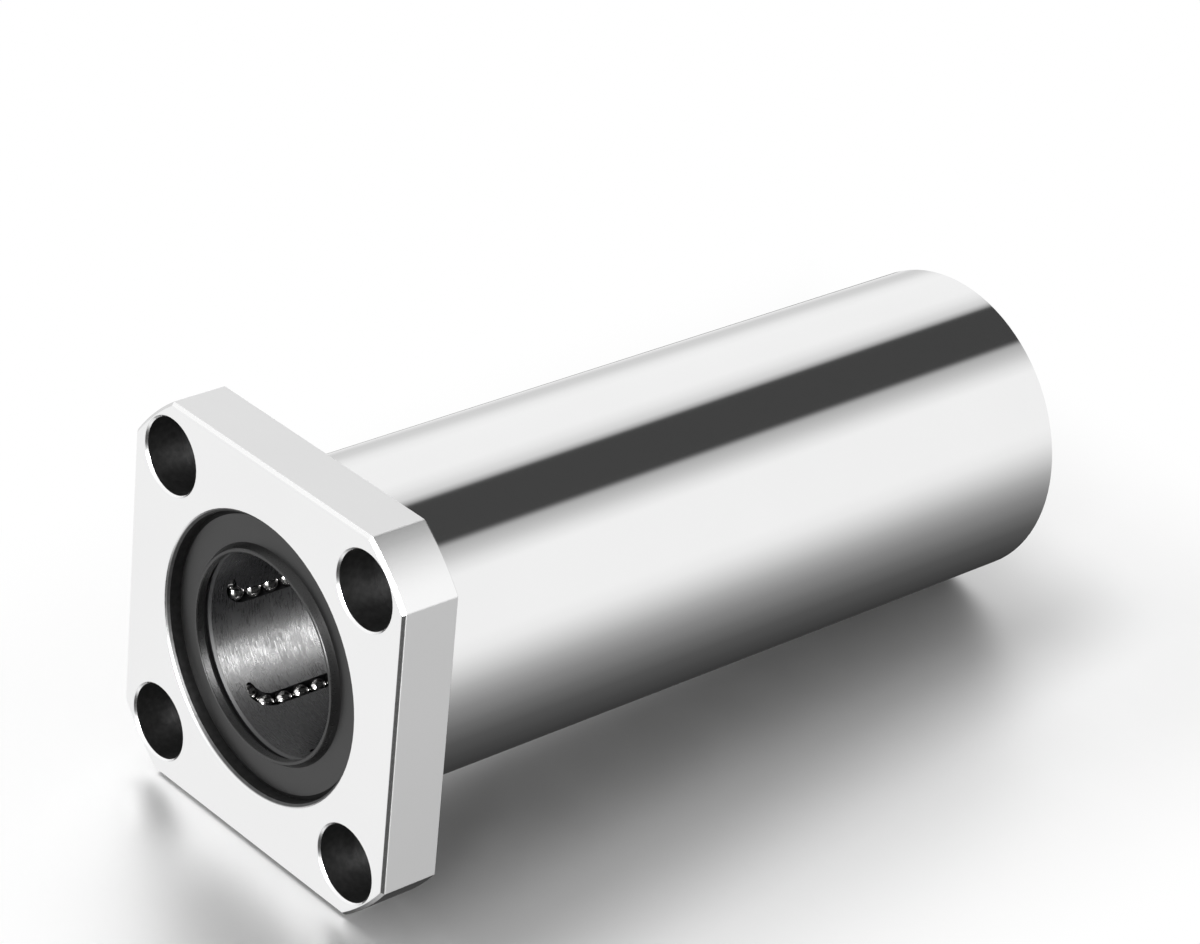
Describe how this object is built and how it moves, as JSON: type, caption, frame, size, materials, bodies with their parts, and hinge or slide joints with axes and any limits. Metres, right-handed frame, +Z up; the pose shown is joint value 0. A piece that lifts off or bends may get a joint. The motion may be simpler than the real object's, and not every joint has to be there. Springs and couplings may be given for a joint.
{
  "type": "square flange linear bearing",
  "caption": "Long linear ball bearing: a ground steel sleeve on a square flange with counterbored corner holes, rubber end seals and rows of steel balls in black cages.",
  "frame": {"origin": "on the shaft's axis, in the plane of the flange's mounting face", "axes": "+Y along the shaft from the flange to the sleeve's free end, +Z up, square to one flat of the flange, +X to the right seen from the flange side"},
  "size_m": [0.05, 0.112, 0.05],
  "materials": {
    "ground_steel": "ground and polished bearing steel, satin on the flange",
    "ball_steel": "polished bearing balls",
    "retainer_resin": "glossy moulded black resin",
    "seal_rubber": "satin black nitrile rubber",
    "ring_steel": "oiled spring steel"
  },
  "bodies": {
    "bearing": {"flanged_sleeve": "ground_steel", "front_retainer": "retainer_resin", "rear_retainer": "retainer_resin", "front_seal": "seal_rubber", "rear_seal": "seal_rubber", "front_snap_ring": "ring_steel", "rear_snap_ring": "ring_steel"},
    "front_load_row_1": {"front_load_balls_1": "ball_steel"},
    "front_return_row_1": {"front_return_balls_1": "ball_steel"},
    "front_outer_turn_1": {"front_outer_turn_balls_1": "ball_steel"},
    "front_inner_turn_1": {"front_inner_turn_balls_1": "ball_steel"},
    "front_load_row_2": {"front_load_balls_2": "ball_steel"},
    "front_return_row_2": {"front_return_balls_2": "ball_steel"},
    "front_outer_turn_2": {"front_outer_turn_balls_2": "ball_steel"},
    "front_inner_turn_2": {"front_inner_turn_balls_2": "ball_steel"},
    "front_load_row_3": {"front_load_balls_3": "ball_steel"},
    "front_return_row_3": {"front_return_balls_3": "ball_steel"},
    "front_outer_turn_3": {"front_outer_turn_balls_3": "ball_steel"},
    "front_inner_turn_3": {"front_inner_turn_balls_3": "ball_steel"},
    "front_load_row_4": {"front_load_balls_4": "ball_steel"},
    "front_return_row_4": {"front_return_balls_4": "ball_steel"},
    "front_outer_turn_4": {"front_outer_turn_balls_4": "ball_steel"},
    "front_inner_turn_4": {"front_inner_turn_balls_4": "ball_steel"},
    "front_load_row_5": {"front_load_balls_5": "ball_steel"},
    "front_return_row_5": {"front_return_balls_5": "ball_steel"},
    "front_outer_turn_5": {"front_outer_turn_balls_5": "ball_steel"},
    "front_inner_turn_5": {"front_inner_turn_balls_5": "ball_steel"},
    "front_load_row_6": {"front_load_balls_6": "ball_steel"},
    "front_return_row_6": {"front_return_balls_6": "ball_steel"},
    "front_outer_turn_6": {"front_outer_turn_balls_6": "ball_steel"},
    "front_inner_turn_6": {"front_inner_turn_balls_6": "ball_steel"},
    "rear_load_row_1": {"rear_load_balls_1": "ball_steel"},
    "rear_return_row_1": {"rear_return_balls_1": "ball_steel"},
    "rear_outer_turn_1": {"rear_outer_turn_balls_1": "ball_steel"},
    "rear_inner_turn_1": {"rear_inner_turn_balls_1": "ball_steel"},
    "rear_load_row_2": {"rear_load_balls_2": "ball_steel"},
    "rear_return_row_2": {"rear_return_balls_2": "ball_steel"},
    "rear_outer_turn_2": {"rear_outer_turn_balls_2": "ball_steel"},
    "rear_inner_turn_2": {"rear_inner_turn_balls_2": "ball_steel"},
    "rear_load_row_3": {"rear_load_balls_3": "ball_steel"},
    "rear_return_row_3": {"rear_return_balls_3": "ball_steel"},
    "rear_outer_turn_3": {"rear_outer_turn_balls_3": "ball_steel"},
    "rear_inner_turn_3": {"rear_inner_turn_balls_3": "ball_steel"},
    "rear_load_row_4": {"rear_load_balls_4": "ball_steel"},
    "rear_return_row_4": {"rear_return_balls_4": "ball_steel"},
    "rear_outer_turn_4": {"rear_outer_turn_balls_4": "ball_steel"},
    "rear_inner_turn_4": {"rear_inner_turn_balls_4": "ball_steel"},
    "rear_load_row_5": {"rear_load_balls_5": "ball_steel"},
    "rear_return_row_5": {"rear_return_balls_5": "ball_steel"},
    "rear_outer_turn_5": {"rear_outer_turn_balls_5": "ball_steel"},
    "rear_inner_turn_5": {"rear_inner_turn_balls_5": "ball_steel"},
    "rear_load_row_6": {"rear_load_balls_6": "ball_steel"},
    "rear_return_row_6": {"rear_return_balls_6": "ball_steel"},
    "rear_outer_turn_6": {"rear_outer_turn_balls_6": "ball_steel"},
    "rear_inner_turn_6": {"rear_inner_turn_balls_6": "ball_steel"}
  },
  "joints": [
    {"name": "front_load_roll_1", "type": "slide", "parent": "bearing", "child": "front_load_row_1", "axis": [0, -1, 0], "range_m": [-0.00127, 0.00127]},
    {"name": "front_return_roll_1", "type": "slide", "parent": "bearing", "child": "front_return_row_1", "axis": [0, -1, 0], "range_m": [-0.00127, 0.00127]},
    {"name": "front_outer_turn_roll_1", "type": "hinge", "parent": "bearing", "child": "front_outer_turn_1", "pos_m": [0.01375, 0.00012, -0.00207], "axis": [0.9997, 0, 0.0262], "range_deg": [-30.05, 30.05]},
    {"name": "front_inner_turn_roll_1", "type": "hinge", "parent": "bearing", "child": "front_inner_turn_1", "pos_m": [0.01375, 0.04343, -0.00207], "axis": [0.9997, 0, 0.0262], "range_deg": [-30.05, 30.05]},
    {"name": "front_load_roll_2", "type": "slide", "parent": "bearing", "child": "front_load_row_2", "axis": [0, -1, 0], "range_m": [-0.00127, 0.00127]},
    {"name": "front_return_roll_2", "type": "slide", "parent": "bearing", "child": "front_return_row_2", "axis": [0, -1, 0], "range_m": [-0.00127, 0.00127]},
    {"name": "front_outer_turn_roll_2", "type": "hinge", "parent": "bearing", "child": "front_outer_turn_2", "pos_m": [0.00867, 0.00012, 0.01087], "axis": [0.4772, 0, 0.8788], "range_deg": [-30.05, 30.05]},
    {"name": "front_inner_turn_roll_2", "type": "hinge", "parent": "bearing", "child": "front_inner_turn_2", "pos_m": [0.00867, 0.04343, 0.01087], "axis": [0.4772, 0, 0.8788], "range_deg": [-30.05, 30.05]},
    {"name": "front_load_roll_3", "type": "slide", "parent": "bearing", "child": "front_load_row_3", "axis": [0, -1, 0], "range_m": [-0.00127, 0.00127]},
    {"name": "front_return_roll_3", "type": "slide", "parent": "bearing", "child": "front_return_row_3", "axis": [0, -1, 0], "range_m": [-0.00127, 0.00127]},
    {"name": "front_outer_turn_roll_3", "type": "hinge", "parent": "bearing", "child": "front_outer_turn_3", "pos_m": [-0.00508, 0.00012, 0.01294], "axis": [-0.5225, 0, 0.8526], "range_deg": [-30.05, 30.05]},
    {"name": "front_inner_turn_roll_3", "type": "hinge", "parent": "bearing", "child": "front_inner_turn_3", "pos_m": [-0.00508, 0.04343, 0.01294], "axis": [-0.5225, 0, 0.8526], "range_deg": [-30.05, 30.05]},
    {"name": "front_load_roll_4", "type": "slide", "parent": "bearing", "child": "front_load_row_4", "axis": [0, -1, 0], "range_m": [-0.00127, 0.00127]},
    {"name": "front_return_roll_4", "type": "slide", "parent": "bearing", "child": "front_return_row_4", "axis": [0, -1, 0], "range_m": [-0.00127, 0.00127]},
    {"name": "front_outer_turn_roll_4", "type": "hinge", "parent": "bearing", "child": "front_outer_turn_4", "pos_m": [-0.01375, 0.00012, 0.00207], "axis": [-0.9997, 0, -0.0262], "range_deg": [-30.05, 30.05]},
    {"name": "front_inner_turn_roll_4", "type": "hinge", "parent": "bearing", "child": "front_inner_turn_4", "pos_m": [-0.01375, 0.04343, 0.00207], "axis": [-0.9997, 0, -0.0262], "range_deg": [-30.05, 30.05]},
    {"name": "front_load_roll_5", "type": "slide", "parent": "bearing", "child": "front_load_row_5", "axis": [0, -1, 0], "range_m": [-0.00127, 0.00127]},
    {"name": "front_return_roll_5", "type": "slide", "parent": "bearing", "child": "front_return_row_5", "axis": [0, -1, 0], "range_m": [-0.00127, 0.00127]},
    {"name": "front_outer_turn_roll_5", "type": "hinge", "parent": "bearing", "child": "front_outer_turn_5", "pos_m": [-0.00867, 0.00012, -0.01087], "axis": [-0.4772, 0, -0.8788], "range_deg": [-30.05, 30.05]},
    {"name": "front_inner_turn_roll_5", "type": "hinge", "parent": "bearing", "child": "front_inner_turn_5", "pos_m": [-0.00867, 0.04343, -0.01087], "axis": [-0.4772, 0, -0.8788], "range_deg": [-30.05, 30.05]},
    {"name": "front_load_roll_6", "type": "slide", "parent": "bearing", "child": "front_load_row_6", "axis": [0, -1, 0], "range_m": [-0.00127, 0.00127]},
    {"name": "front_return_roll_6", "type": "slide", "parent": "bearing", "child": "front_return_row_6", "axis": [0, -1, 0], "range_m": [-0.00127, 0.00127]},
    {"name": "front_outer_turn_roll_6", "type": "hinge", "parent": "bearing", "child": "front_outer_turn_6", "pos_m": [0.00508, 0.00012, -0.01294], "axis": [0.5225, 0, -0.8526], "range_deg": [-30.05, 30.05]},
    {"name": "front_inner_turn_roll_6", "type": "hinge", "parent": "bearing", "child": "front_inner_turn_6", "pos_m": [0.00508, 0.04343, -0.01294], "axis": [0.5225, 0, -0.8526], "range_deg": [-30.05, 30.05]},
    {"name": "rear_load_roll_1", "type": "slide", "parent": "bearing", "child": "rear_load_row_1", "axis": [0, 1, 0], "range_m": [-0.00127, 0.00127]},
    {"name": "rear_return_roll_1", "type": "slide", "parent": "bearing", "child": "rear_return_row_1", "axis": [0, 1, 0], "range_m": [-0.00127, 0.00127]},
    {"name": "rear_outer_turn_roll_1", "type": "hinge", "parent": "bearing", "child": "rear_outer_turn_1", "pos_m": [0.01362, 0.09588, 0.00279], "axis": [0.9997, 0, 0.0262], "range_deg": [-30.05, 30.05]},
    {"name": "rear_inner_turn_roll_1", "type": "hinge", "parent": "bearing", "child": "rear_inner_turn_1", "pos_m": [0.01362, 0.05257, 0.00279], "axis": [0.9997, 0, 0.0262], "range_deg": [-30.05, 30.05]},
    {"name": "rear_load_roll_2", "type": "slide", "parent": "bearing", "child": "rear_load_row_2", "axis": [0, 1, 0], "range_m": [-0.00127, 0.00127]},
    {"name": "rear_return_roll_2", "type": "slide", "parent": "bearing", "child": "rear_return_row_2", "axis": [0, 1, 0], "range_m": [-0.00127, 0.00127]},
    {"name": "rear_outer_turn_roll_2", "type": "hinge", "parent": "bearing", "child": "rear_outer_turn_2", "pos_m": [0.00439, 0.09588, 0.01319], "axis": [0.4772, 0, 0.8788], "range_deg": [-30.05, 30.05]},
    {"name": "rear_inner_turn_roll_2", "type": "hinge", "parent": "bearing", "child": "rear_inner_turn_2", "pos_m": [0.00439, 0.05257, 0.01319], "axis": [0.4772, 0, 0.8788], "range_deg": [-30.05, 30.05]},
    {"name": "rear_load_roll_3", "type": "slide", "parent": "bearing", "child": "rear_load_row_3", "axis": [0, 1, 0], "range_m": [-0.00127, 0.00127]},
    {"name": "rear_return_roll_3", "type": "slide", "parent": "bearing", "child": "rear_return_row_3", "axis": [0, 1, 0], "range_m": [-0.00127, 0.00127]},
    {"name": "rear_outer_turn_roll_3", "type": "hinge", "parent": "bearing", "child": "rear_outer_turn_3", "pos_m": [-0.00923, 0.09588, 0.0104], "axis": [-0.5225, 0, 0.8526], "range_deg": [-30.05, 30.05]},
    {"name": "rear_inner_turn_roll_3", "type": "hinge", "parent": "bearing", "child": "rear_inner_turn_3", "pos_m": [-0.00923, 0.05257, 0.0104], "axis": [-0.5225, 0, 0.8526], "range_deg": [-30.05, 30.05]},
    {"name": "rear_load_roll_4", "type": "slide", "parent": "bearing", "child": "rear_load_row_4", "axis": [0, 1, 0], "range_m": [-0.00127, 0.00127]},
    {"name": "rear_return_roll_4", "type": "slide", "parent": "bearing", "child": "rear_return_row_4", "axis": [0, 1, 0], "range_m": [-0.00127, 0.00127]},
    {"name": "rear_outer_turn_roll_4", "type": "hinge", "parent": "bearing", "child": "rear_outer_turn_4", "pos_m": [-0.01362, 0.09588, -0.00279], "axis": [-0.9997, 0, -0.0262], "range_deg": [-30.05, 30.05]},
    {"name": "rear_inner_turn_roll_4", "type": "hinge", "parent": "bearing", "child": "rear_inner_turn_4", "pos_m": [-0.01362, 0.05257, -0.00279], "axis": [-0.9997, 0, -0.0262], "range_deg": [-30.05, 30.05]},
    {"name": "rear_load_roll_5", "type": "slide", "parent": "bearing", "child": "rear_load_row_5", "axis": [0, 1, 0], "range_m": [-0.00127, 0.00127]},
    {"name": "rear_return_roll_5", "type": "slide", "parent": "bearing", "child": "rear_return_row_5", "axis": [0, 1, 0], "range_m": [-0.00127, 0.00127]},
    {"name": "rear_outer_turn_roll_5", "type": "hinge", "parent": "bearing", "child": "rear_outer_turn_5", "pos_m": [-0.00439, 0.09588, -0.01319], "axis": [-0.4772, 0, -0.8788], "range_deg": [-30.05, 30.05]},
    {"name": "rear_inner_turn_roll_5", "type": "hinge", "parent": "bearing", "child": "rear_inner_turn_5", "pos_m": [-0.00439, 0.05257, -0.01319], "axis": [-0.4772, 0, -0.8788], "range_deg": [-30.05, 30.05]},
    {"name": "rear_load_roll_6", "type": "slide", "parent": "bearing", "child": "rear_load_row_6", "axis": [0, 1, 0], "range_m": [-0.00127, 0.00127]},
    {"name": "rear_return_roll_6", "type": "slide", "parent": "bearing", "child": "rear_return_row_6", "axis": [0, 1, 0], "range_m": [-0.00127, 0.00127]},
    {"name": "rear_outer_turn_roll_6", "type": "hinge", "parent": "bearing", "child": "rear_outer_turn_6", "pos_m": [0.00923, 0.09588, -0.0104], "axis": [0.5225, 0, -0.8526], "range_deg": [-30.05, 30.05]},
    {"name": "rear_inner_turn_roll_6", "type": "hinge", "parent": "bearing", "child": "rear_inner_turn_6", "pos_m": [0.00923, 0.05257, -0.0104], "axis": [0.5225, 0, -0.8526], "range_deg": [-30.05, 30.05]}
  ],
  "couplings": [
    {"joint": "front_return_roll_1", "follows": "front_load_roll_1", "ratio": -1},
    {"joint": "front_outer_turn_roll_1", "follows": "front_load_roll_1", "rad_per_m": 411.1},
    {"joint": "front_inner_turn_roll_1", "follows": "front_load_roll_1", "rad_per_m": 411.1},
    {"joint": "front_return_roll_2", "follows": "front_load_roll_2", "ratio": -1},
    {"joint": "front_outer_turn_roll_2", "follows": "front_load_roll_2", "rad_per_m": 411.1},
    {"joint": "front_inner_turn_roll_2", "follows": "front_load_roll_2", "rad_per_m": 411.1},
    {"joint": "front_return_roll_3", "follows": "front_load_roll_3", "ratio": -1},
    {"joint": "front_outer_turn_roll_3", "follows": "front_load_roll_3", "rad_per_m": 411.1},
    {"joint": "front_inner_turn_roll_3", "follows": "front_load_roll_3", "rad_per_m": 411.1},
    {"joint": "front_return_roll_4", "follows": "front_load_roll_4", "ratio": -1},
    {"joint": "front_outer_turn_roll_4", "follows": "front_load_roll_4", "rad_per_m": 411.1},
    {"joint": "front_inner_turn_roll_4", "follows": "front_load_roll_4", "rad_per_m": 411.1},
    {"joint": "front_return_roll_5", "follows": "front_load_roll_5", "ratio": -1},
    {"joint": "front_outer_turn_roll_5", "follows": "front_load_roll_5", "rad_per_m": 411.1},
    {"joint": "front_inner_turn_roll_5", "follows": "front_load_roll_5", "rad_per_m": 411.1},
    {"joint": "front_return_roll_6", "follows": "front_load_roll_6", "ratio": -1},
    {"joint": "front_outer_turn_roll_6", "follows": "front_load_roll_6", "rad_per_m": 411.1},
    {"joint": "front_inner_turn_roll_6", "follows": "front_load_roll_6", "rad_per_m": 411.1},
    {"joint": "rear_return_roll_1", "follows": "rear_load_roll_1", "ratio": -1},
    {"joint": "rear_outer_turn_roll_1", "follows": "rear_load_roll_1", "rad_per_m": 411.1},
    {"joint": "rear_inner_turn_roll_1", "follows": "rear_load_roll_1", "rad_per_m": 411.1},
    {"joint": "rear_return_roll_2", "follows": "rear_load_roll_2", "ratio": -1},
    {"joint": "rear_outer_turn_roll_2", "follows": "rear_load_roll_2", "rad_per_m": 411.1},
    {"joint": "rear_inner_turn_roll_2", "follows": "rear_load_roll_2", "rad_per_m": 411.1},
    {"joint": "rear_return_roll_3", "follows": "rear_load_roll_3", "ratio": -1},
    {"joint": "rear_outer_turn_roll_3", "follows": "rear_load_roll_3", "rad_per_m": 411.1},
    {"joint": "rear_inner_turn_roll_3", "follows": "rear_load_roll_3", "rad_per_m": 411.1},
    {"joint": "rear_return_roll_4", "follows": "rear_load_roll_4", "ratio": -1},
    {"joint": "rear_outer_turn_roll_4", "follows": "rear_load_roll_4", "rad_per_m": 411.1},
    {"joint": "rear_inner_turn_roll_4", "follows": "rear_load_roll_4", "rad_per_m": 411.1},
    {"joint": "rear_return_roll_5", "follows": "rear_load_roll_5", "ratio": -1},
    {"joint": "rear_outer_turn_roll_5", "follows": "rear_load_roll_5", "rad_per_m": 411.1},
    {"joint": "rear_inner_turn_roll_5", "follows": "rear_load_roll_5", "rad_per_m": 411.1},
    {"joint": "rear_return_roll_6", "follows": "rear_load_roll_6", "ratio": -1},
    {"joint": "rear_outer_turn_roll_6", "follows": "rear_load_roll_6", "rad_per_m": 411.1},
    {"joint": "rear_inner_turn_roll_6", "follows": "rear_load_roll_6", "rad_per_m": 411.1}
  ]
}
